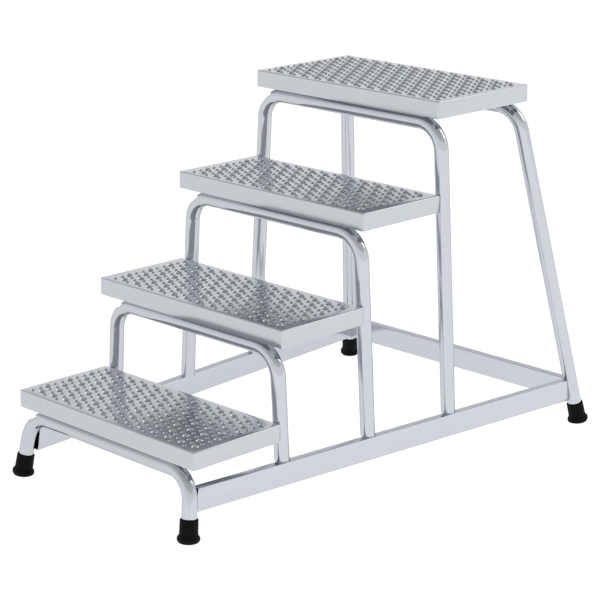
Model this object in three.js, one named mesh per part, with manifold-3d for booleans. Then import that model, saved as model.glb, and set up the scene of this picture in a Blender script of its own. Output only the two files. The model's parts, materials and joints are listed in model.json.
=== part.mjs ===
// Four-step mounting block: folded sheet treads on bent tube hoops, which stand on two side rails.
// Millimetres, +Z up. +Y runs from the lowest step to the top platform, and +X is the right-hand
// side of somebody who climbs it. The origin is on the floor, midway between all four feet.

import * as THREE from 'three';
import { mergeVertices } from 'three/addons/utils/BufferGeometryUtils.js';
import Module from 'manifold-3d';

const wasm = await Module();
wasm.setup();

// ---- Driving dimensions ---------------------------------------------------------------------

const GAP = 0.3; // clearance between pieces that touch

const TOTAL_HEIGHT = 800;
const RISE = 203;
const GOING = 237.5; // from one tread's nose to the next
const FIRST_NOSE = -2.4; // Y of the lowest tread's nose
const TREAD_WIDTHS = [556, 572, 572];
const PLATFORM_WIDTH = 556;
const PLATFORM_DEPTH = 303;
const SKIRT_HEIGHT = 38.5;
const SHEET = 2.5;
const LIP = 20; // inward return along the bottom of the front and rear skirts
const TREAD_CORNER = 3; // radius of the vertical corners
const FOLD = 2; // bevel along the top edges

const TUBE_RADIUS = 16;
const TUBE_WALL = 2;
const TUBE_SIDES = 16;
const COPING_SIDES = 64;
const BEND_RADIUS = 61; // to the tube's centreline
const BEND_STEPS = 6;
const SETBACK = 20.2; // hoop centreline behind the tread's nose
const FRONT_HOOP_SETBACK = 13.7;
const REAR_HOOP_SETBACK = 16.4; // hoop centreline in front of the platform's rear edge
const LEG_SPLAY = 0.0613; // outward run per unit of drop, hoops 2 to 4

const RAIL_WIDTH = 20;
const RAIL_HEIGHT = 50;
const RAIL_WALL = 2;
const RAIL_CORNER = 1.5;
const RAIL_BORE_CORNER = 0.5;
const RAIL_TOP = 105.5;
const RAIL_FLARE = 0.0885; // outward run per unit along +Y
const RAIL_CENTRE_AT_NOSE = 251.9; // distance of a rail's centre plane from X = 0 at Y = 0
const RAIL_OVERRUN = 9; // a side rail stops this far in front of the rear leg's axis
const LEG_INSET = 8.5; // from a rail's centre plane in to the axis of the legs on it

// Where the axes of the end hoops' legs meet the floor, and how they lean from there.
const FRONT_FOOT = { x: 268, y: -9.8, splay: 0.098 };
const REAR_FOOT = { x: 368.7, y: 1128, splay: 0.142 };

const TUBE_END = 13; // along the leg, from the floor to the tube's cut end
const DISC_THICKNESS = 2;
const DISC_CLEARANCE = 0.5;
const FERRULE_HEIGHT = 49.3;
const FERRULE_BASE = 10.4; // rubber under the steel disc
const FERRULE_NECK = 19; // outer radii, from the mouth down to the foot
const FERRULE_BODY = 19.5;
const FERRULE_FOOT = 24;
const FERRULE_FOOT_ROUNDING = 7.5;
const FERRULE_WAIST = 18; // height at which the foot's flare meets the body
const FERRULE_MOUTH_BEVEL = 0.6;
const FERRULE_SIDES = 20;

// ---- Materials ------------------------------------------------------------------------------

const galvanised = (color) => new THREE.MeshStandardMaterial({ color, roughness: 0.38, metalness: 0.9 });
const makeTubeSteel = () => galvanised(0xc9cbd2);
const makeRailSteel = () => galvanised(0xcdd0da);
const makeTreadSteel = () => galvanised(0xc6c9cc);
const makeDiscSteel = () => galvanised(0xa9abae);
const makeRubber = () => new THREE.MeshStandardMaterial({ color: 0x191b1a, roughness: 0.75, metalness: 0 });

// ---- Solids ---------------------------------------------------------------------------------

/** A manifold solid from a closed geometry. */
function toSolid(geometry) {
  const bare = geometry.index ? geometry.toNonIndexed() : geometry.clone();
  bare.deleteAttribute('normal');
  bare.deleteAttribute('uv');
  const merged = mergeVertices(bare, 1e-3);
  return new wasm.Manifold(
    new wasm.Mesh({
      numProp: 3,
      vertProperties: new Float32Array(merged.attributes.position.array),
      triVerts: new Uint32Array(merged.index.array),
    }),
  );
}

/** The geometry of a manifold solid. */
function toGeometry(solid) {
  const mesh = solid.getMesh();
  const geometry = new THREE.BufferGeometry();
  geometry.setAttribute('position', new THREE.BufferAttribute(mesh.vertProperties, 3));
  geometry.setIndex(new THREE.BufferAttribute(mesh.triVerts, 1));
  geometry.computeVertexNormals();
  return geometry;
}

function part(name, geometry, material) {
  const mesh = new THREE.Mesh(geometry, material);
  mesh.name = name;
  return mesh;
}

/** A rounded rectangle centred on (cx, cy), as a Shape or, with Kind = THREE.Path, as a hole. */
function roundedRectangle(width, height, radius, cx = 0, cy = 0, Kind = THREE.Shape) {
  const [x, y] = [width / 2, height / 2];
  const outline = new Kind();
  outline.moveTo(cx - x + radius, cy - y);
  outline.lineTo(cx + x - radius, cy - y);
  outline.absarc(cx + x - radius, cy - y + radius, radius, -Math.PI / 2, 0);
  outline.lineTo(cx + x, cy + y - radius);
  outline.absarc(cx + x - radius, cy + y - radius, radius, 0, Math.PI / 2);
  outline.lineTo(cx - x + radius, cy + y);
  outline.absarc(cx - x + radius, cy + y - radius, radius, Math.PI / 2, Math.PI);
  outline.lineTo(cx - x, cy - y + radius);
  outline.absarc(cx - x + radius, cy - y + radius, radius, Math.PI, 1.5 * Math.PI);
  return outline;
}

/** A block between two corners. */
function block(low, high) {
  const size = high.clone().sub(low);
  const centre = low.clone().add(high).multiplyScalar(0.5);
  return toSolid(new THREE.BoxGeometry(size.x, size.y, size.z).translate(centre.x, centre.y, centre.z));
}

/** Turns geometry whose length runs along +Z so that it starts at `from` and points to `to`. */
function aim(geometry, from, to) {
  const direction = to.clone().sub(from).normalize();
  const turn = new THREE.Quaternion().setFromUnitVectors(new THREE.Vector3(0, 0, 1), direction);
  return geometry.applyQuaternion(turn).translate(from.x, from.y, from.z);
}

// ---- Layout ---------------------------------------------------------------------------------

const treadTop = (step) => TOTAL_HEIGHT - RISE * (3 - step);
const noseY = (step) => FIRST_NOSE + GOING * step;
const tubeCentreBelow = (top) => top - SKIRT_HEIGHT - GAP - TUBE_RADIUS;
const railCentreX = (y) => RAIL_CENTRE_AT_NOSE + RAIL_FLARE * y;
const treadDepth = GOING + SETBACK - TUBE_RADIUS - GAP;

/** A leg's axis, up from the floor to the level of its hoop's top bar. `side` is 1 right, -1 left. */
function endHoopLeg(foot, topY, topZ, side) {
  const bottom = new THREE.Vector3(side * foot.x, foot.y, 0);
  const top = new THREE.Vector3(side * (foot.x - foot.splay * topZ), topY, topZ);
  return { bottom, top };
}

const frontTopY = noseY(0) + FRONT_HOOP_SETBACK;
const frontLeg = (side) => endHoopLeg(FRONT_FOOT, frontTopY, tubeCentreBelow(treadTop(0)), side);
const rearTopY = noseY(3) + PLATFORM_DEPTH - REAR_HOOP_SETBACK;
const rearLeg = (side) => endHoopLeg(REAR_FOOT, rearTopY, tubeCentreBelow(TOTAL_HEIGHT), side);
const alongLeg = (leg, distance) => {
  const up = leg.top.clone().sub(leg.bottom).normalize();
  return leg.bottom.clone().addScaledVector(up, distance);
};

// ---- Treads ---------------------------------------------------------------------------------

/** A folded tray, open below, with its nose's top edge at the origin. */
function treadGeometry(width, depth) {
  const centreY = depth / 2;
  const plan = roundedRectangle(width - 2 * FOLD, depth - 2 * FOLD, TREAD_CORNER - FOLD, 0, centreY);
  const shell = new THREE.ExtrudeGeometry(plan, {
    depth: SKIRT_HEIGHT - 2 * FOLD,
    bevelThickness: FOLD,
    bevelSize: FOLD,
    bevelSegments: 1,
    curveSegments: 3,
  }).translate(0, 0, FOLD - SKIRT_HEIGHT);
  const inner = TREAD_CORNER - SHEET;
  const cavity = new THREE.ExtrudeGeometry(
    roundedRectangle(width - 2 * SHEET, depth - 2 * SHEET, inner, 0, centreY),
    { depth: SKIRT_HEIGHT - 2 * SHEET, bevelEnabled: false, curveSegments: 3 },
  ).translate(0, 0, SHEET - SKIRT_HEIGHT);
  const mouth = new THREE.ExtrudeGeometry(
    roundedRectangle(width - 2 * SHEET, depth - 2 * LIP, inner, 0, centreY),
    { depth: 3 * SHEET, bevelEnabled: false, curveSegments: 3 },
  ).translate(0, 0, -SHEET - SKIRT_HEIGHT);
  return toGeometry(toSolid(shell).subtract(toSolid(cavity)).subtract(toSolid(mouth)));
}

function makeTreads() {
  const treads = new THREE.Group();
  TREAD_WIDTHS.forEach((width, step) => {
    const tread = part(`tread_${step + 1}`, treadGeometry(width, treadDepth), makeTreadSteel());
    tread.position.set(0, noseY(step), treadTop(step));
    treads.add(tread);
  });
  const platform = part('top_platform', treadGeometry(PLATFORM_WIDTH, PLATFORM_DEPTH), makeTreadSteel());
  platform.position.set(0, noseY(3), TOTAL_HEIGHT);
  treads.add(platform);
  return treads;
}

// ---- Hoops ----------------------------------------------------------------------------------

/** A path through corner points, with its inner corners bent to a radius. One ring per step. */
class BentPath extends THREE.Curve {
  constructor(corners, radius, bendSteps) {
    super();
    this.points = [corners[0]];
    this.tangents = [corners[1].clone().sub(corners[0]).normalize()];
    for (let i = 1; i < corners.length - 1; i += 1) {
      this.addBend(corners[i - 1], corners[i], corners[i + 1], radius, bendSteps);
    }
    this.points.push(corners.at(-1));
    this.tangents.push(corners.at(-1).clone().sub(corners.at(-2)).normalize());
    this.steps = this.points.length - 1;
  }

  addBend(before, corner, after, radius, bendSteps) {
    const into = corner.clone().sub(before).normalize();
    const out = after.clone().sub(corner).normalize();
    const angle = into.angleTo(out);
    const start = corner.clone().addScaledVector(into, -radius * Math.tan(angle / 2));
    const inward = out.clone().addScaledVector(into, -into.dot(out)).normalize();
    for (let k = 0; k <= bendSteps; k += 1) {
      const turned = (angle * k) / bendSteps;
      const point = start.clone();
      point.addScaledVector(into, radius * Math.sin(turned));
      point.addScaledVector(inward, radius * (1 - Math.cos(turned)));
      this.points.push(point);
      const tangent = into.clone().multiplyScalar(Math.cos(turned));
      this.tangents.push(tangent.addScaledVector(inward, Math.sin(turned)));
    }
  }

  getPoint(t, target = new THREE.Vector3()) {
    return target.copy(this.points[Math.round(t * this.steps)]);
  }

  getPointAt(u, target) {
    return this.getPoint(u, target);
  }

  getTangentAt(u, target = new THREE.Vector3()) {
    return target.copy(this.tangents[Math.round(u * this.steps)]);
  }
}

/** A hollow tube along a bent path. */
function tubeGeometry(corners) {
  const path = new BentPath(corners, BEND_RADIUS, BEND_STEPS);
  const section = new THREE.Shape().absarc(0, 0, TUBE_RADIUS, 0, 2 * Math.PI);
  section.holes.push(new THREE.Path().absarc(0, 0, TUBE_RADIUS - TUBE_WALL, 0, 2 * Math.PI, true));
  return new THREE.ExtrudeGeometry(section, {
    extrudePath: path,
    steps: path.steps,
    curveSegments: TUBE_SIDES / 2,
  });
}

/** A hoop whose legs end on the floor side, inside the ferrules. */
function endHoopGeometry(leg) {
  const [left, right] = [leg(-1), leg(1)];
  return tubeGeometry([alongLeg(left, TUBE_END), left.top, right.top, alongLeg(right, TUBE_END)]);
}

/** A hoop that stands on the side rails, in a vertical plane, its legs cut level. */
function middleHoopGeometry(step) {
  const y = noseY(step) + SETBACK;
  const topZ = tubeCentreBelow(treadTop(step));
  const railX = railCentreX(y) - LEG_INSET;
  const legX = (z) => railX - LEG_SPLAY * (z - RAIL_TOP);
  const legPoint = (side, z) => new THREE.Vector3(side * legX(z), y, z);
  const railFoot = RAIL_TOP - RAIL_HEIGHT;
  const corners = [
    legPoint(-1, railFoot),
    legPoint(-1, topZ),
    legPoint(1, topZ),
    legPoint(1, railFoot),
  ];
  const reach = 2 * railX;
  const low = new THREE.Vector3(-reach, y - reach, 0);
  const high = new THREE.Vector3(reach, y + reach, RAIL_TOP + GAP);
  return toGeometry(toSolid(tubeGeometry(corners)).subtract(block(low, high)));
}

function makeHoops() {
  const hoops = new THREE.Group();
  hoops.add(part('hoop_1', endHoopGeometry(frontLeg), makeTubeSteel()));
  for (const step of [1, 2, 3]) {
    hoops.add(part(`hoop_${step + 1}`, middleHoopGeometry(step), makeTubeSteel()));
  }
  hoops.add(part('rear_hoop', endHoopGeometry(rearLeg), makeTubeSteel()));
  return hoops;
}

// ---- Rails ----------------------------------------------------------------------------------

/** A length of rectangular tube, standing on edge, from one point to another at rail height. */
function railSolid(from, to) {
  const length = from.distanceTo(to);
  const section = roundedRectangle(RAIL_WIDTH, RAIL_HEIGHT, RAIL_CORNER);
  const bore = roundedRectangle(
    RAIL_WIDTH - 2 * RAIL_WALL,
    RAIL_HEIGHT - 2 * RAIL_WALL,
    RAIL_BORE_CORNER,
    0,
    0,
    THREE.Path,
  );
  section.holes.push(bore);
  const geometry = new THREE.ExtrudeGeometry(section, {
    depth: length,
    bevelEnabled: false,
    curveSegments: 3,
  });
  const forward = to.clone().sub(from).normalize();
  const up = new THREE.Vector3(0, 0, 1);
  const across = up.clone().cross(forward);
  const placing = new THREE.Matrix4().makeBasis(across, up, forward).setPosition(from);
  return toSolid(geometry.applyMatrix4(placing));
}

/** A solid bar around a leg's axis, to cope a rail's end to the leg. */
function copingBar(leg) {
  const length = leg.bottom.distanceTo(leg.top);
  const radius = TUBE_RADIUS + GAP;
  const bar = new THREE.CylinderGeometry(radius, radius, length, COPING_SIDES);
  bar.rotateX(Math.PI / 2).translate(0, 0, length / 2);
  return toSolid(aim(bar, leg.bottom, leg.top));
}

/** Everything in front of the plane that touches the rear of the front leg and leans with it. */
function spaceBeforeFrontLeg(leg) {
  const lean = Math.atan2(leg.top.y - leg.bottom.y, leg.top.z - leg.bottom.z);
  const reach = 2 * RAIL_CENTRE_AT_NOSE;
  const slab = new THREE.BoxGeometry(2 * reach, reach, reach);
  slab.translate(0, TUBE_RADIUS + GAP - reach / 2, 0);
  slab.rotateX(-lean);
  return toSolid(slab.translate(0, leg.bottom.y, 0));
}

/** Everything behind the plane that cuts the side rail off beside the rear leg and leans with it. */
function spaceBehindRearLeg(leg) {
  const lean = Math.atan2(leg.top.y - leg.bottom.y, leg.top.z - leg.bottom.z);
  const reach = 2 * REAR_FOOT.x;
  const slab = new THREE.BoxGeometry(2 * reach, reach, reach);
  slab.translate(0, reach / 2 - RAIL_OVERRUN, 0);
  slab.rotateX(-lean);
  return toSolid(slab.translate(0, leg.bottom.y, 0));
}

/** Half the cross rail's length before its ends are coped, and the point on the rear leg beside it. */
function crossRailPlace() {
  const level = RAIL_TOP - RAIL_HEIGHT / 2;
  const leg = rearLeg(1);
  const middle = leg.bottom.clone().lerp(leg.top, level / leg.top.z);
  return { halfLength: middle.x - TUBE_RADIUS / 2, y: middle.y, z: level };
}

/** The cross rail's envelope with its clearance, which the side rails stop short of. */
function crossRailSpace() {
  const { halfLength, y, z } = crossRailPlace();
  const half = new THREE.Vector3(halfLength, RAIL_WIDTH / 2, RAIL_HEIGHT / 2).addScalar(GAP);
  const centre = new THREE.Vector3(0, y, z);
  return block(centre.clone().sub(half), centre.clone().add(half));
}

function sideRailGeometry(side) {
  const railZ = RAIL_TOP - RAIL_HEIGHT / 2;
  const at = (y) => new THREE.Vector3(side * railCentreX(y), y, railZ);
  let rail = railSolid(at(-RAIL_HEIGHT / 2), at(REAR_FOOT.y));
  rail = rail.subtract(spaceBeforeFrontLeg(frontLeg(side)));
  rail = rail.subtract(spaceBehindRearLeg(rearLeg(side)));
  rail = rail.subtract(copingBar(rearLeg(side)));
  return toGeometry(rail.subtract(crossRailSpace()));
}

function crossRailGeometry() {
  const { halfLength, y, z } = crossRailPlace();
  const end = (side) => new THREE.Vector3(side * halfLength, y, z);
  const rail = railSolid(end(-1), end(1));
  return toGeometry(rail.subtract(copingBar(rearLeg(-1))).subtract(copingBar(rearLeg(1))));
}

function makeRails() {
  const rails = new THREE.Group();
  rails.add(part('side_rail_left', sideRailGeometry(-1), makeRailSteel()));
  rails.add(part('side_rail_right', sideRailGeometry(1), makeRailSteel()));
  rails.add(part('rear_cross_rail', crossRailGeometry(), makeRailSteel()));
  return rails;
}

// ---- Feet -----------------------------------------------------------------------------------

/** A rubber cup turned about +Z: open at the top, with a rounded, wider foot. */
function ferruleCup() {
  const bore = TUBE_RADIUS + GAP;
  const round = FERRULE_FOOT_ROUNDING;
  const roundCentre = FERRULE_FOOT - round;
  const belowFloor = -round; // the lean is cut off level at the floor afterwards
  const flareStart = THREE.MathUtils.degToRad(54);
  const bevel = FERRULE_MOUTH_BEVEL;
  const profile = new THREE.Path();
  profile.moveTo(0, belowFloor);
  profile.lineTo(roundCentre, belowFloor);
  profile.lineTo(roundCentre, 0);
  profile.absarc(roundCentre, round, round, -Math.PI / 2, flareStart);
  profile.lineTo(FERRULE_BODY, FERRULE_WAIST);
  profile.lineTo(FERRULE_NECK, FERRULE_HEIGHT - bevel);
  profile.lineTo(FERRULE_NECK - bevel, FERRULE_HEIGHT);
  profile.lineTo(bore, FERRULE_HEIGHT);
  profile.lineTo(bore, FERRULE_BASE);
  profile.lineTo(0, FERRULE_BASE);
  return new THREE.LatheGeometry(profile.getPoints(4), FERRULE_SIDES).rotateX(Math.PI / 2);
}

/** The cup on a leg, cut level where it stands on the floor. */
function ferruleGeometry(leg) {
  const cup = toSolid(aim(ferruleCup(), leg.bottom, leg.top));
  const reach = 2 * FERRULE_FOOT;
  const low = new THREE.Vector3(leg.bottom.x - reach, leg.bottom.y - reach, -reach);
  const high = new THREE.Vector3(leg.bottom.x + reach, leg.bottom.y + reach, 0);
  return toGeometry(cup.subtract(block(low, high)));
}

/** The steel disc that lies in the bottom of the cup, under the tube's end. */
function discGeometry(leg) {
  const radius = TUBE_RADIUS - DISC_CLEARANCE;
  const disc = new THREE.CylinderGeometry(radius, radius, DISC_THICKNESS, FERRULE_SIDES);
  disc.rotateX(Math.PI / 2).translate(0, 0, FERRULE_BASE + GAP + DISC_THICKNESS / 2);
  return aim(disc, leg.bottom, leg.top);
}

function makeFeet() {
  const feet = new THREE.Group();
  const corners = {
    front_left: frontLeg(-1),
    front_right: frontLeg(1),
    rear_left: rearLeg(-1),
    rear_right: rearLeg(1),
  };
  for (const [corner, leg] of Object.entries(corners)) {
    feet.add(part(`ferrule_${corner}`, ferruleGeometry(leg), makeRubber()));
    feet.add(part(`ferrule_disc_${corner}`, discGeometry(leg), makeDiscSteel()));
  }
  return feet;
}

// ---- Assembly -------------------------------------------------------------------------------

const mountingBlock = new THREE.Group();
mountingBlock.add(makeTreads(), makeHoops(), makeRails(), makeFeet());
mountingBlock.position.y = -(FRONT_FOOT.y + REAR_FOOT.y) / 2;

export default mountingBlock;
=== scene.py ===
"""Looks for a four-step mounting block: bent steel tube, folded anti-slip treads, rubber ferrules.

Everything is in metres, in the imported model's frame: +Y runs from the lowest step to the highest.
"""

import json
import math
import random

import bmesh
import bpy
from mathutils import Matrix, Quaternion, Vector
from mathutils.geometry import delaunay_2d_cdt


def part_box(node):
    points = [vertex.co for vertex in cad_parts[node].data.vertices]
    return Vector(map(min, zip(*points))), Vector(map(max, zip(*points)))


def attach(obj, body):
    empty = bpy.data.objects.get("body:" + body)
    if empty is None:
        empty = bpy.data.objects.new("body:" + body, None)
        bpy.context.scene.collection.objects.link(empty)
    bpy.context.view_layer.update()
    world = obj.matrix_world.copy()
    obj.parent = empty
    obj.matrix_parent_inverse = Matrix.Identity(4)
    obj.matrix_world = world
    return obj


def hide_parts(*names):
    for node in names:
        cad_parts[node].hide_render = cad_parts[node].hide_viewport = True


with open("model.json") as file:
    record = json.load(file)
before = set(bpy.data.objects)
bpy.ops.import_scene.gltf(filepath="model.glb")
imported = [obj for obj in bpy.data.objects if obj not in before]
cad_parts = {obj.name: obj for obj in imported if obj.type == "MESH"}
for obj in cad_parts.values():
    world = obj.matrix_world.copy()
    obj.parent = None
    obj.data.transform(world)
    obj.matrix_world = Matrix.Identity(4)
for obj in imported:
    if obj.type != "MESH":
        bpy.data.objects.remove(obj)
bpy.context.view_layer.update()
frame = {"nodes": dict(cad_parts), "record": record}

MM = 0.001
UP = Vector((0, 0, 1))
RANDOM_SEED = 7

# ---- Dimensions shared with the CAD -------------------------------------------------------------

SHEET = 2.5 * MM
LIP = 20 * MM
TREAD_CORNER = 3 * MM
FOLD = 3 * MM
TUBE_RADIUS = 16 * MM
TUBE_WALL = 2 * MM
BEND_RADIUS = 61 * MM
TUBE_END = 13 * MM  # from the floor up the leg to the end of its tube
RAIL_TOP = 105.5 * MM

# Outward run of a leg per unit of drop.
LEG_SPLAY = 0.0613
FRONT_SPLAY = 0.098
REAR_SPLAY = 0.142

TREADS = ("tread_1", "tread_2", "tread_3", "top_platform")
MIDDLE_HOOPS = ("hoop_2", "hoop_3", "hoop_4")
RAILS = ("side_rail_left", "side_rail_right", "rear_cross_rail")

FEET = {m["name"].removeprefix("floor_"): Vector(m["pos_m"]) for m in frame["record"]["mounts"]}


# ---- Materials ----------------------------------------------------------------------------------


class Shader:
    """A Principled material with a small vocabulary for its nodes, in the part's coordinates."""

    def __init__(self, name):
        self.material = bpy.data.materials.new(name)
        self.material.use_nodes = True
        self.tree = self.material.node_tree
        self.principled = self.tree.nodes["Principled BSDF"]
        self.place = self.tree.nodes.new("ShaderNodeTexCoord").outputs["Object"]

    def node(self, kind, **settings):
        made = self.tree.nodes.new(kind)
        for key, value in settings.items():
            if key in made.inputs:
                made.inputs[key].default_value = value
            else:
                setattr(made, key, value)
        return made

    def link(self, output, socket):
        self.tree.links.new(output, socket)

    def stretched(self, scale):
        mapping = self.node("ShaderNodeMapping")
        mapping.inputs["Scale"].default_value = scale
        self.link(self.place, mapping.inputs["Vector"])
        return mapping.outputs["Vector"]

    def noise(self, scale, detail=3.0, roughness=0.55, stretch=None):
        made = self.node("ShaderNodeTexNoise", Scale=scale, Detail=detail, Roughness=roughness)
        self.link(self.stretched(stretch) if stretch else self.place, made.inputs["Vector"])
        return made.outputs["Fac"]

    def crystals(self, scale):
        made = self.node("ShaderNodeTexVoronoi", Scale=scale)
        self.link(self.place, made.inputs["Vector"])
        grey = self.node("ShaderNodeRGBToBW")
        self.link(made.outputs["Color"], grey.inputs["Color"])
        return grey.outputs["Val"]

    def spread(self, value, low, high, start=0.3, end=0.7):
        """Maps a value that runs from start to end onto the range from low to high."""
        made = self.node("ShaderNodeMapRange")
        self.link(value, made.inputs["Value"])
        made.inputs["From Min"].default_value = start
        made.inputs["From Max"].default_value = end
        made.inputs["To Min"].default_value = low
        made.inputs["To Max"].default_value = high
        return made.outputs["Result"]

    def blend(self, factor, first, second):
        """Mixes two colours, each a tuple or another node's output."""
        made = self.node("ShaderNodeMix", data_type="RGBA")
        self.link(factor, made.inputs["Factor"])
        for socket, colour in ((made.inputs[6], first), (made.inputs[7], second)):
            if isinstance(colour, tuple):
                socket.default_value = (*colour, 1)
            else:
                self.link(colour, socket)
        return made.outputs[2]

    def add(self, first, second):
        made = self.node("ShaderNodeMath", operation="ADD")
        self.link(first, made.inputs[0])
        self.link(second, made.inputs[1])
        return made.outputs["Value"]

    def finish(self, colour, roughness, height, bump_strength, bump_distance):
        self.link(colour, self.principled.inputs["Base Color"])
        self.link(roughness, self.principled.inputs["Roughness"])
        bump = self.node("ShaderNodeBump", Strength=bump_strength, Distance=bump_distance)
        self.link(height, bump.inputs["Height"])
        self.link(bump.outputs["Normal"], self.principled.inputs["Normal"])
        return self.material


EDGE_TINT = (0.68, 0.69, 0.71)  # keeps the zinc from turning white where it is seen edge on
HANDLED_SHADE = 0.9
GLOSSIEST, DULLEST = 0.85, 1.2  # as factors of a steel's roughness
RUBBER_BLACK = (0.0022, 0.0027, 0.0025)
RUBBER_DUST = (0.007, 0.0075, 0.0072)


def scaled(colour, factor):
    return tuple(min(1.0, channel * factor) for channel in colour)


def steel(name, colour, roughness, grain_stretch, contrast=0.018, bump=0.05, edge=EDGE_TINT):
    """Zinc-coated steel: faint crystals, streaks that change its gloss, darker handled patches.

    The streaks run along the axis with the smallest stretch.
    """
    shader = Shader(name)
    shader.principled.inputs["Metallic"].default_value = 1.0
    shader.principled.inputs["Specular Tint"].default_value = (*edge, 1)
    crystals = shader.crystals(scale=140.0)
    streaks = shader.noise(scale=60.0, detail=4.0, stretch=grain_stretch)
    clouds = shader.noise(scale=9.0, detail=2.0)
    patches = shader.noise(scale=26.0, detail=6.0, roughness=0.7)

    tint = shader.spread(shader.add(crystals, clouds), low=0.0, high=1.0, start=0.4, end=1.5)
    plain = shader.blend(tint, scaled(colour, 1 - contrast), scaled(colour, 1 + contrast))
    handled = shader.spread(patches, low=0.0, high=0.3, start=0.6, end=0.85)
    shade = shader.blend(handled, plain, scaled(colour, HANDLED_SHADE))

    gloss = shader.spread(
        shader.add(streaks, clouds),
        low=roughness * GLOSSIEST,
        high=roughness * DULLEST,
        start=0.7,
        end=1.3,
    )
    height = shader.add(streaks, shader.spread(crystals, low=0.0, high=0.3))
    return shader.finish(shade, gloss, height, bump_strength=bump, bump_distance=0.25 * MM)


def rubber(name):
    """Black moulded rubber with dust in its grain."""
    shader = Shader(name)
    shader.principled.inputs["Specular IOR Level"].default_value = 0.1
    grain = shader.noise(scale=900.0, detail=4.0)
    patches = shader.noise(scale=45.0, detail=5.0, roughness=0.65)
    dust = shader.spread(patches, low=0.0, high=0.6, start=0.5, end=0.85)
    colour = shader.blend(dust, RUBBER_BLACK, RUBBER_DUST)
    gloss = shader.spread(grain, low=0.55, high=0.78)
    return shader.finish(colour, gloss, grain, bump_strength=0.25, bump_distance=0.4 * MM)


TREAD_STEEL = steel(
    "tread_sheet_galvanised",
    colour=(0.515, 0.535, 0.565),
    roughness=0.17,
    grain_stretch=(1.0, 14.0, 14.0),
    edge=(0.92, 0.92, 0.93),
)
TUBE_STEEL = steel(
    "tube_galvanised",
    colour=(0.53, 0.55, 0.585),
    roughness=0.12,
    grain_stretch=(10.0, 10.0, 1.2),
)
RAIL_STEEL = steel(
    "rail_galvanised",
    colour=(0.54, 0.56, 0.6),
    roughness=0.17,
    grain_stretch=(12.0, 1.0, 12.0),
)
WELD_STEEL = steel(
    "weld_metal",
    colour=(0.42, 0.43, 0.45),
    roughness=0.38,
    grain_stretch=(4.0, 4.0, 4.0),
    contrast=0.16,
    bump=0.4,
)
DISC_STEEL = steel(
    "disc_galvanised",
    colour=(0.5, 0.51, 0.52),
    roughness=0.4,
    grain_stretch=(3.0, 3.0, 3.0),
)
RUBBER = rubber("ferrule_rubber")


# ---- Mesh helpers -------------------------------------------------------------------------------

MERGE_DISTANCE = 1e-7


def add_piece(name, mesh, material, slot, *nodes):
    """Puts a finished mesh in the scene on the object's one body."""
    piece = bpy.data.objects.new(name, mesh)
    bpy.context.scene.collection.objects.link(piece)
    mesh.materials.append(material)
    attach(piece, "root")
    if nodes:
        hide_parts(*nodes)
    return piece


def shade_by_angle(mesh, sharp_degrees):
    """Smooth shading, with the edges left sharp where faces turn by more than the given angle."""
    mesh.shade_smooth()
    mesh.set_sharp_from_angle(angle=math.radians(sharp_degrees))


def mesh_from_faces(name, vertices, faces, sharp_degrees=32):
    """A mesh with its coinciding vertices merged and its faces turned outward, shaded by angle."""
    mesh = bpy.data.meshes.new(name)
    mesh.from_pydata(vertices, [], faces)
    work = bmesh.new()
    work.from_mesh(mesh)
    bmesh.ops.remove_doubles(work, verts=work.verts, dist=MERGE_DISTANCE)
    bmesh.ops.recalc_face_normals(work, faces=work.faces)
    work.to_mesh(mesh)
    work.free()
    shade_by_angle(mesh, sharp_degrees)
    return mesh


def once_round(sides):
    """Cosine and sine of evenly spaced angles, once round a circle."""
    angles = [2 * math.pi * i / sides for i in range(sides)]
    return [(math.cos(angle), math.sin(angle)) for angle in angles]


def stitched(first, second):
    """Quads between two closed loops of vertex numbers."""
    count = len(first)
    pairs = ((i, (i + 1) % count) for i in range(count))
    return [(first[i], first[j], second[j], second[i]) for i, j in pairs]


def loft(rings, closed_ends=False):
    """Faces between rings of equal length. Vertices are numbered ring by ring."""
    vertices = [point for ring in rings for point in ring]
    count = len(rings[0])
    numbers = [range(start, start + count) for start in range(0, len(vertices), count)]
    faces = []
    for low, high in zip(numbers, numbers[1:]):
        faces += stitched(low, high)
    if closed_ends:
        faces.append(tuple(reversed(numbers[0])))
        faces.append(tuple(numbers[-1]))
    return vertices, faces


# ---- Treads -------------------------------------------------------------------------------------

COLUMN_PITCH = 20.3 * MM
ROW_PITCH = 61.1 * MM / 3
PATTERN_MARGIN = 15 * MM
FIRST_COLUMN = 0.5  # in column pitches from the tread's middle
FIRST_ROW = 27.2 * MM  # behind the nose
ODD_COLUMN_SHIFT = 1.5  # in row pitches
ROWS_PER_CRATER = 3  # one large hole, then two small ones

# A raised hole: its sides, then its wall over and under the sheet as (radius, height) in mm.
CRATER = (
    16,
    [(8.6, 0), (8.0, 0), (7.2, 0.5), (5.9, 2.2), (5.2, 2.9), (4.5, 3.1), (3.9, 2.8), (3.5, 2.0)],
    [(3.5, 0.1), (5.2, -0.9), (7.9, -2.5), (8.6, -2.5)],
)
NIB = (
    10,
    [(5.6, 0), (5.0, 0), (4.3, 0.45), (3.2, 1.7), (2.5, 2.15), (1.8, 1.8)],
    [(1.8, -0.4), (3.2, -1.4), (5.0, -2.5), (5.6, -2.5)],
)

CORNER_STEPS = 5
FOLD_STEPS = 5
EDGE_ROUNDING = 0.5 * MM
ROUNDING_MIDDLE = 0.3 * EDGE_ROUNDING
CDT_ALL_TRIANGLES = 0
CDT_TOLERANCE = 1e-9


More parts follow.
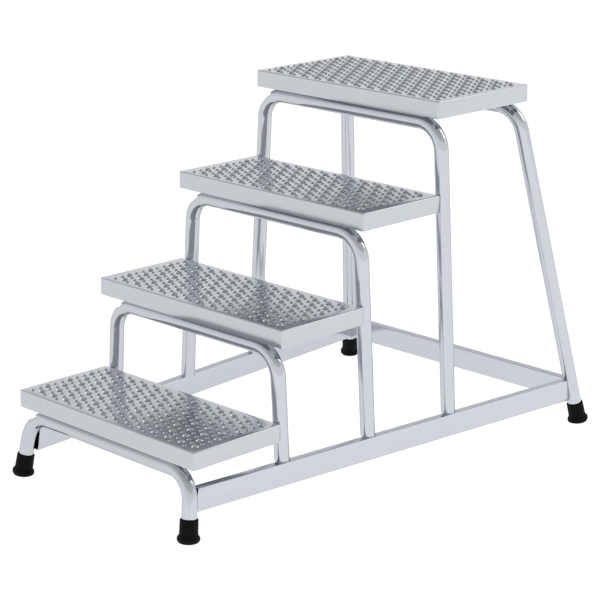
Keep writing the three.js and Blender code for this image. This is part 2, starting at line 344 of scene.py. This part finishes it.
def pattern_centres(half_width, depth):
    """Centres of the large and the small raised holes, from a tread's middle and nose."""
    large, small = [], []
    columns = int((half_width - PATTERN_MARGIN) / COLUMN_PITCH)
    for column in range(-columns - 1, columns + 1):
        x = (column + FIRST_COLUMN) * COLUMN_PITCH
        if abs(x) > half_width - PATTERN_MARGIN:
            continue
        start = FIRST_ROW + (ODD_COLUMN_SHIFT * ROW_PITCH if column % 2 else 0)
        first = -math.ceil(start / ROW_PITCH)
        for row in range(first, first + int(depth / ROW_PITCH) + 3):
            y = start + row * ROW_PITCH
            if PATTERN_MARGIN <= y <= depth - PATTERN_MARGIN:
                (small if row % ROWS_PER_CRATER else large).append((x, y))
    return large, small


def tray_outline(half_width, depth, inset, lip_inset):
    """The tread's outline from above, pulled in by `inset`, or `lip_inset` along nose and back."""
    mitre = LIP + SHEET
    radius = max(TREAD_CORNER - inset, 0)
    outline = []
    corners = [(1, 0), (1, 1), (-1, 1), (-1, 0)]
    for turn, (side, back) in enumerate(corners):
        centre_x = side * (half_width - TREAD_CORNER)
        centre_y = depth - TREAD_CORNER if back else TREAD_CORNER
        arc = []
        for step in range(CORNER_STEPS + 1):
            angle = (turn - 1 + step / CORNER_STEPS) * (math.pi / 2)
            arc.append((centre_x + radius * math.cos(angle), centre_y + radius * math.sin(angle)))
        lip_y = depth - lip_inset if back else lip_inset
        lip_end = (side * (half_width - mitre), lip_y)
        outline += [lip_end, *arc] if turn in (0, 2) else [*arc, lip_end]
    return outline


def perforated_sheet(outline, large, small):
    """Triangles between an outline and rings around the holes: (points, triangles, rings)."""
    points = list(outline)
    edges = [(i, (i + 1) % len(outline)) for i in range(len(outline))]
    owner = [-1] * len(outline)
    rings = []
    for centres, hole in ((large, CRATER), (small, NIB)):
        sides, over, _ = hole
        radius = over[0][0] * MM
        for x, y in centres:
            start = len(points)
            rings.append((start, x, y, hole))
            for cosine, sine in once_round(sides):
                points.append((x + radius * cosine, y + radius * sine))
            edges += [(start + i, start + (i + 1) % sides) for i in range(sides)]
            owner += [start] * sides
    flat_points = [Vector(point) for point in points]
    made = delaunay_2d_cdt(flat_points, edges, [], CDT_ALL_TRIANGLES, CDT_TOLERANCE)
    made_faces, sources = made[2], made[3]
    original = [numbers[0] for numbers in sources]
    triangles = []
    for face in made_faces:
        corners = tuple(original[v] for v in face)
        owners = {owner[v] for v in corners}
        if len(owners) > 1 or owners == {-1}:
            triangles.append(corners)
    return points, triangles, rings


def hole_wall(vertices, upper_ring, lower_ring, x, y, hole):
    """Adds a raised hole's wall to `vertices` and returns its faces, from its top ring down."""
    sides, over, under = hole
    faces = []
    previous = upper_ring
    for radius, height in [*over[1:], *under[:-1]]:
        current = range(len(vertices), len(vertices) + sides)
        reach = radius * MM
        for cosine, sine in once_round(sides):
            vertices.append((x + reach * cosine, y + reach * sine, height * MM))
        faces += stitched(previous, current)
        previous = current
    return faces + stitched(previous, lower_ring)


def skirt_loops(half_width, depth, drop):
    """Loops down the fold and the skirt, round the lip's edge and back up the inside."""
    bottom = -drop
    levels = []
    for step in range(1, FOLD_STEPS + 1):
        angle = step / FOLD_STEPS * math.pi / 2
        inset = FOLD * (1 - math.sin(angle))
        levels.append((inset, inset, -FOLD * (1 - math.cos(angle))))
    levels += [
        (0, 0, bottom + EDGE_ROUNDING),
        (ROUNDING_MIDDLE, ROUNDING_MIDDLE, bottom + ROUNDING_MIDDLE),
        (EDGE_ROUNDING, EDGE_ROUNDING, bottom),
        (SHEET - EDGE_ROUNDING, LIP, bottom),
        (SHEET, LIP, bottom + SHEET),
        (SHEET, SHEET, bottom + SHEET),
        (SHEET, SHEET, -SHEET - FOLD),
    ]
    loops = []
    for inset, lip_inset, z in levels:
        loops.append([(x, y, z) for x, y in tray_outline(half_width, depth, inset, lip_inset)])
    return loops


def tread_mesh(name, low, high):
    """A folded tray, open below, with turned-in lips and a field of raised holes."""
    half_width = (high.x - low.x) / 2
    depth = high.y - low.y
    flat = tray_outline(half_width, depth, FOLD, FOLD)
    points, triangles, rings = perforated_sheet(flat, *pattern_centres(half_width, depth))
    count = len(points)
    vertices = [(x, y, 0.0) for x, y in points] + [(x, y, -SHEET) for x, y in points]
    faces = [*triangles, *(tuple(count + v for v in reversed(t)) for t in triangles)]

    for start, x, y, hole in rings:
        upper_ring = range(start, start + hole[0])
        lower_ring = range(count + start, count + start + hole[0])
        faces += hole_wall(vertices, upper_ring, lower_ring, x, y, hole)

    previous = range(len(flat))
    for loop in skirt_loops(half_width, depth, high.z - low.z):
        current = range(len(vertices), len(vertices) + len(loop))
        vertices += loop
        faces += stitched(previous, current)
        previous = current
    faces += stitched(previous, range(count, count + len(flat)))

    middle_x = (high.x + low.x) / 2
    placed = [(x + middle_x, y + low.y, z + high.z) for x, y, z in vertices]
    return mesh_from_faces(name, placed, faces, sharp_degrees=60)


for node in TREADS:
    add_piece(f"{node}_sheet", tread_mesh(node, *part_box(node)), TREAD_STEEL, "tread_sheet", node)


# ---- Hoops --------------------------------------------------------------------------------------

TUBE_SIDES = 40
BEND_STEPS = 18


def bent_path(corners):
    """Points and directions along a polyline whose inner corners are rounded to the bend radius."""
    path = [(corners[0], (corners[1] - corners[0]).normalized())]
    for before, corner, after in zip(corners, corners[1:], corners[2:]):
        into = (corner - before).normalized()
        out = (after - corner).normalized()
        angle = into.angle(out)
        start = corner - into * BEND_RADIUS * math.tan(angle / 2)
        inward = (out - into * into.dot(out)).normalized()
        for step in range(BEND_STEPS + 1):
            turned = angle * step / BEND_STEPS
            forward = into * math.sin(turned) + inward * (1 - math.cos(turned))
            direction = into * math.cos(turned) + inward * math.sin(turned)
            path.append((start + forward * BEND_RADIUS, direction))
    path.append((corners[-1], (corners[-1] - corners[-2]).normalized()))
    return path


def tube_mesh(name, corners, cut_z=None):
    """A hollow tube along a bent path, its ends cut square or, with `cut_z`, level at that height."""
    path = bent_path(corners)
    plane_normal = (corners[1] - corners[0]).cross(corners[2] - corners[1]).normalized()
    rings = []
    for radius, order in ((TUBE_RADIUS, path), (TUBE_RADIUS - TUBE_WALL, path[::-1])):
        for point, direction in order:
            beside = direction.cross(plane_normal)
            ring = []
            for cosine, sine in once_round(TUBE_SIDES):
                corner = point + (plane_normal * cosine + beside * sine) * radius
                if cut_z is not None and point in (corners[0], corners[-1]):
                    corner += direction * (cut_z - corner.z) / direction.z
                ring.append(corner)
            rings.append(ring)
    vertices, faces = loft([*rings, rings[0]])
    return mesh_from_faces(name, vertices, faces, sharp_degrees=50)


def middle_hoop_corners(node):
    """Left foot, left shoulder, right shoulder and right foot of a hoop that stands on the rails."""
    low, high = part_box(node)
    y = (low.y + high.y) / 2
    top = high.z - TUBE_RADIUS
    foot = high.x - TUBE_RADIUS * math.sqrt(1 + LEG_SPLAY**2)
    shoulder = foot - LEG_SPLAY * (top - low.z)
    places = ((-foot, low.z), (-shoulder, top), (shoulder, top), (foot, low.z))
    return [Vector((x, y, z)) for x, z in places]


def end_hoop_legs(node, end, splay):
    """Foot and shoulder of the left and right legs of a hoop that stands on the floor."""
    low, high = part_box(node)
    top_z = high.z - TUBE_RADIUS
    top_y = high.y - TUBE_RADIUS if end == "front" else low.y + TUBE_RADIUS
    legs = []
    for side, sign in (("left", -1), ("right", 1)):
        foot = FEET[f"{end}_{side}"]
        legs.append((foot, Vector((foot.x - sign * splay * top_z, top_y, top_z))))
    return legs


END_LEGS = {
    "front": end_hoop_legs("hoop_1", "front", FRONT_SPLAY),
    "rear": end_hoop_legs("rear_hoop", "rear", REAR_SPLAY),
}


def end_hoop_corners(end):
    (left_foot, left_top), (right_foot, right_top) = END_LEGS[end]
    left_end = left_foot + (left_top - left_foot).normalized() * TUBE_END
    right_end = right_foot + (right_top - right_foot).normalized() * TUBE_END
    return [left_end, left_top, right_top, right_end]


for node in MIDDLE_HOOPS:
    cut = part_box(node)[0].z
    mesh = tube_mesh(node, middle_hoop_corners(node), cut)
    add_piece(f"{node}_tube", mesh, TUBE_STEEL, "tube_steel", node)
for node, end in (("hoop_1", "front"), ("rear_hoop", "rear")):
    mesh = tube_mesh(node, end_hoop_corners(end))
    add_piece(f"{node}_tube", mesh, TUBE_STEEL, "tube_steel", node)


# ---- Rails --------------------------------------------------------------------------------------

PACKED_MERGE_DISTANCE = 1e-6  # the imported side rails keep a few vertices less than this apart
FLAT_DEGREES = 0.5


def rail_mesh(node):
    """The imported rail, its flat faces merged and its rounded corners shaded as curves."""
    source = frame["nodes"][node].data
    vertices = [v.co.copy() for v in source.vertices]
    faces = [tuple(p.vertices) for p in source.polygons]
    mesh = mesh_from_faces(node, vertices, faces)
    flat_angle = math.radians(FLAT_DEGREES)
    work = bmesh.new()
    work.from_mesh(mesh)
    bmesh.ops.remove_doubles(work, verts=work.verts, dist=PACKED_MERGE_DISTANCE)
    bmesh.ops.dissolve_limit(work, angle_limit=flat_angle, verts=work.verts, edges=work.edges)
    work.to_mesh(mesh)
    work.free()
    shade_by_angle(mesh, sharp_degrees=40)
    return mesh


for node in RAILS:
    add_piece(f"{node}_tube", rail_mesh(node), RAIL_STEEL, "rail_steel", node)


# ---- Ferrules -----------------------------------------------------------------------------------

FERRULE_SIDES = 56
SOLE_HEIGHT = 5 * MM
SOLE_LEAN = 0.5  # the sole's share of its leg's lean, which grows to all of it at SOLE_HEIGHT

# The cup's outline as (radius, height) in mm: its sole, a rounded flare, its sleeve, its bore.
SOLE = [(1.0, 0.0), (8.0, 0.0)]
FLARE_RADIUS = 24.0
FLARE_ROUNDING = 8.8
FLARE_STEPS = 20
FLARE_HALF_TURNS = 0.8
SLEEVE = [(20.1, 17.2), (19.6, 19.0), (19.5, 21.0), (19.0, 46.9), (18.9, 48.2), (18.4, 49.1)]
BORE = [(17.4, 49.3), (16.5, 48.9), (16.3, 48.1), (16.3, 10.4)]


def ferrule_profile():
    """Radius and height of the cup's outside, from the floor up, then down its bore."""
    centre = FLARE_RADIUS - FLARE_ROUNDING
    flare = []
    for step in range(FLARE_STEPS + 1):
        angle = -math.pi / 2 + step / FLARE_STEPS * FLARE_HALF_TURNS * math.pi
        height = FLARE_ROUNDING * (1 + math.sin(angle))
        flare.append((centre + FLARE_ROUNDING * math.cos(angle), height))
    return [(radius * MM, height * MM) for radius, height in [*SOLE, *flare, *SLEEVE, *BORE]]


def ferrule_mesh(name, foot, top):
    """A rubber cup along the leg's axis, its sole turned half level and pressed on the floor."""
    turn = UP.rotation_difference(top - foot)
    rings = []
    for radius, height in ferrule_profile():
        share = min(1.0, SOLE_LEAN + (1 - SOLE_LEAN) * height / SOLE_HEIGHT)
        lean = Quaternion().slerp(turn, share)
        centre = foot + turn @ Vector((0, 0, height))
        ring = []
        for cosine, sine in once_round(FERRULE_SIDES):
            point = centre + lean @ Vector((radius * cosine, radius * sine, 0))
            ring.append(Vector((point.x, point.y, max(point.z, 0.0))))
        rings.append(ring)
    vertices, faces = loft(rings, closed_ends=True)
    return mesh_from_faces(name, vertices, faces, sharp_degrees=50)


for end, legs in END_LEGS.items():
    for side, (foot, top) in zip(("left", "right"), legs):
        node = f"ferrule_{end}_{side}"
        add_piece(f"{node}_cup", ferrule_mesh(node, foot, top), RUBBER, "rubber", node)

for name, node in frame["nodes"].items():
    if name.startswith("ferrule_disc"):
        node.data.materials.clear()
        node.data.materials.append(DISC_STEEL)


# ---- Welds --------------------------------------------------------------------------------------

WELD_RADIUS = 1.7 * MM
WELD_SIDES = 10
RIPPLE_PITCH = 2.2 * MM
RIPPLE_DEPTH = 0.13  # as a share of the bead's radius, as is the chance part
RIPPLE_CHANCE = 0.05
END_SIZE = 0.35  # the bead's size at its very ends, and its growth from each ring to the next
END_GROWTH = 0.3
BEAD_STEPS = 40
BEAD_HALF_ANGLE = 86
BEAD_CLEARANCE = 0.2 * MM
draw = random.Random(RANDOM_SEED)


def bead_mesh(name, points):
    """A rippled weld bead along a line of points, thinner at its ends."""
    rings = []
    travelled = 0.0
    last = len(points) - 1
    for index, point in enumerate(points):
        before = points[max(index - 1, 0)]
        after = points[min(index + 1, last)]
        direction = (after - before).normalized()
        travelled += (point - before).length
        wave = math.sin(2 * math.pi * travelled / RIPPLE_PITCH)
        ripple = 1 + RIPPLE_DEPTH * wave + draw.uniform(-RIPPLE_CHANCE, RIPPLE_CHANCE)
        taper = min(1.0, END_SIZE + END_GROWTH * min(index, last - index))
        turn = UP.rotation_difference(direction)
        ring = []
        for cosine, sine in once_round(WELD_SIDES):
            around = Vector((cosine, sine, 0)) * WELD_RADIUS * ripple * taper
            ring.append(point + turn @ around)
        rings.append(ring)
    vertices, faces = loft(rings, closed_ends=True)
    return mesh_from_faces(name, vertices, faces)


def add_weld(name, points):
    add_piece(name, bead_mesh(name, points), WELD_STEEL, "rail_steel")


def leg_on_rail_bead(foot, outward):
    """Points round the outer half of a leg, where it stands on its rail."""
    reach = TUBE_RADIUS + BEAD_CLEARANCE
    points = []
    for step in range(BEAD_STEPS + 1):
        angle = math.radians(-BEAD_HALF_ANGLE + 2 * BEAD_HALF_ANGLE * step / BEAD_STEPS)
        x = foot.x + outward * reach * math.cos(angle)
        y = foot.y + reach * math.sin(angle)
        points.append(Vector((x, y, RAIL_TOP)))
    return points


for node in MIDDLE_HOOPS:
    corners = middle_hoop_corners(node)
    for side, sign, foot in (("left", -1, corners[0]), ("right", 1, corners[-1])):
        add_weld(f"weld_{node}_{side}", leg_on_rail_bead(foot, sign))


# ---- Floor, light and camera --------------------------------------------------------------------

FLOOR_REACH = 30.0
FLOOR_GREY = (0.12, 0.12, 0.12, 1)
GLOW_START, GLOW_END = -0.2, 0.5  # across the object, between the two strengths of the glow
GLOW_LEFT, GLOW_RIGHT = 1.0, 1.11

# Brightness of the surroundings by height: 0 is the horizon and below, 1 is overhead.
SKY_STOPS = [(0.0, 1.0), (0.33, 1.0), (0.46, 0.68), (0.74, 0.6), (0.88, 0.46), (1.0, 0.4)]

LIT_POINT = (0, 0, 0.45)

# The camera as fitted to the photo's outlines. Angles are in degrees, the lens in mm.
CAMERA_AZIMUTH = 44.869
CAMERA_ELEVATION = 16.125
CAMERA_ROLL = 0.1595
CAMERA_PLACE = (3.13402, -3.13344, 1.61608)
CAMERA_LENS = 124.146
SENSOR_WIDTH = 36.0
CAMERA_SIGHT = 200.0


def add_floor():
    """A matt floor that glows white, a little more towards the right."""
    mesh = bpy.data.meshes.new("floor")
    reach = FLOOR_REACH
    corners = [(-reach, -reach, 0), (reach, -reach, 0), (reach, reach, 0), (-reach, reach, 0)]
    mesh.from_pydata(corners, [], [(0, 1, 2, 3)])
    floor = bpy.data.objects.new("floor", mesh)
    bpy.context.scene.collection.objects.link(floor)
    material = bpy.data.materials.new("floor_pale")
    material.use_nodes = True
    principled = material.node_tree.nodes["Principled BSDF"]
    principled.inputs["Base Color"].default_value = FLOOR_GREY
    principled.inputs["Roughness"].default_value = 0.9
    principled.inputs["Specular IOR Level"].default_value = 0.1
    principled.inputs["Emission Color"].default_value = (1, 1, 1, 1)
    place = material.node_tree.nodes.new("ShaderNodeTexCoord")
    along = material.node_tree.nodes.new("ShaderNodeVectorMath")
    along.operation = "DOT_PRODUCT"
    along.inputs[1].default_value = (1, 0, 0)
    glow = material.node_tree.nodes.new("ShaderNodeMapRange")
    glow.inputs["From Min"].default_value = GLOW_START
    glow.inputs["From Max"].default_value = GLOW_END
    glow.inputs["To Min"].default_value = GLOW_LEFT
    glow.inputs["To Max"].default_value = GLOW_RIGHT
    links = material.node_tree.links
    links.new(place.outputs["Object"], along.inputs[0])
    links.new(along.outputs["Value"], glow.inputs["Value"])
    links.new(glow.outputs["Result"], principled.inputs["Emission Strength"])
    mesh.materials.append(material)


def add_sky():
    """Soft studio surroundings: white near the horizon, darker overhead."""
    world = bpy.data.worlds.new("studio")
    world.use_nodes = True
    tree = world.node_tree
    background = tree.nodes["Background"]
    place = tree.nodes.new("ShaderNodeTexCoord")
    split = tree.nodes.new("ShaderNodeSeparateXYZ")
    ramp = tree.nodes.new("ShaderNodeValToRGB")
    tree.links.new(place.outputs["Generated"], split.inputs["Vector"])
    tree.links.new(split.outputs["Z"], ramp.inputs["Fac"])
    tree.links.new(ramp.outputs["Color"], background.inputs["Color"])
    elements = ramp.color_ramp.elements
    elements.remove(elements[1])
    (first_height, first_value), *other_stops = SKY_STOPS
    elements[0].position = first_height
    elements[0].color = (first_value, first_value, first_value, 1)
    for height, value in other_stops:
        elements.new(height).color = (value, value, value, 1)
    background.inputs["Strength"].default_value = 1.0
    bpy.context.scene.world = world


def add_light(name, location, size, power):
    """A round soft box that faces the object's middle."""
    light = bpy.data.lights.new(name, "AREA")
    light.shape = "DISK"
    light.size = size
    light.energy = power
    lamp = bpy.data.objects.new(name, light)
    lamp.location = location
    lamp.rotation_mode = "QUATERNION"
    lamp.rotation_quaternion = (Vector(LIT_POINT) - Vector(location)).to_track_quat("-Z", "Y")
    bpy.context.scene.collection.objects.link(lamp)


def add_camera():
    """The photo's camera, turned by its roll about the line of sight."""
    azimuth = math.radians(CAMERA_AZIMUTH)
    elevation = math.radians(CAMERA_ELEVATION)
    back = Vector(
        (
            math.sin(azimuth) * math.cos(elevation),
            -math.cos(azimuth) * math.cos(elevation),
            math.sin(elevation),
        )
    )
    camera = bpy.data.objects.new("camera", bpy.data.cameras.new("camera"))
    camera.data.sensor_width = SENSOR_WIDTH
    camera.data.lens = CAMERA_LENS
    camera.data.clip_end = CAMERA_SIGHT
    camera.location = CAMERA_PLACE
    camera.rotation_mode = "QUATERNION"
    turned = Quaternion(back, math.radians(CAMERA_ROLL))
    camera.rotation_quaternion = turned @ (-back).to_track_quat("-Z", "Y")
    bpy.context.scene.collection.objects.link(camera)
    bpy.context.scene.camera = camera


add_floor()
add_sky()
add_light("softbox_left", location=(-11.6, 1.2, 3.6), size=6.4, power=178)
add_light("softbox_right", location=(1.9, 2.9, 3.0), size=2.2, power=18)
add_camera()
bpy.context.scene.view_settings.view_transform = "Standard"
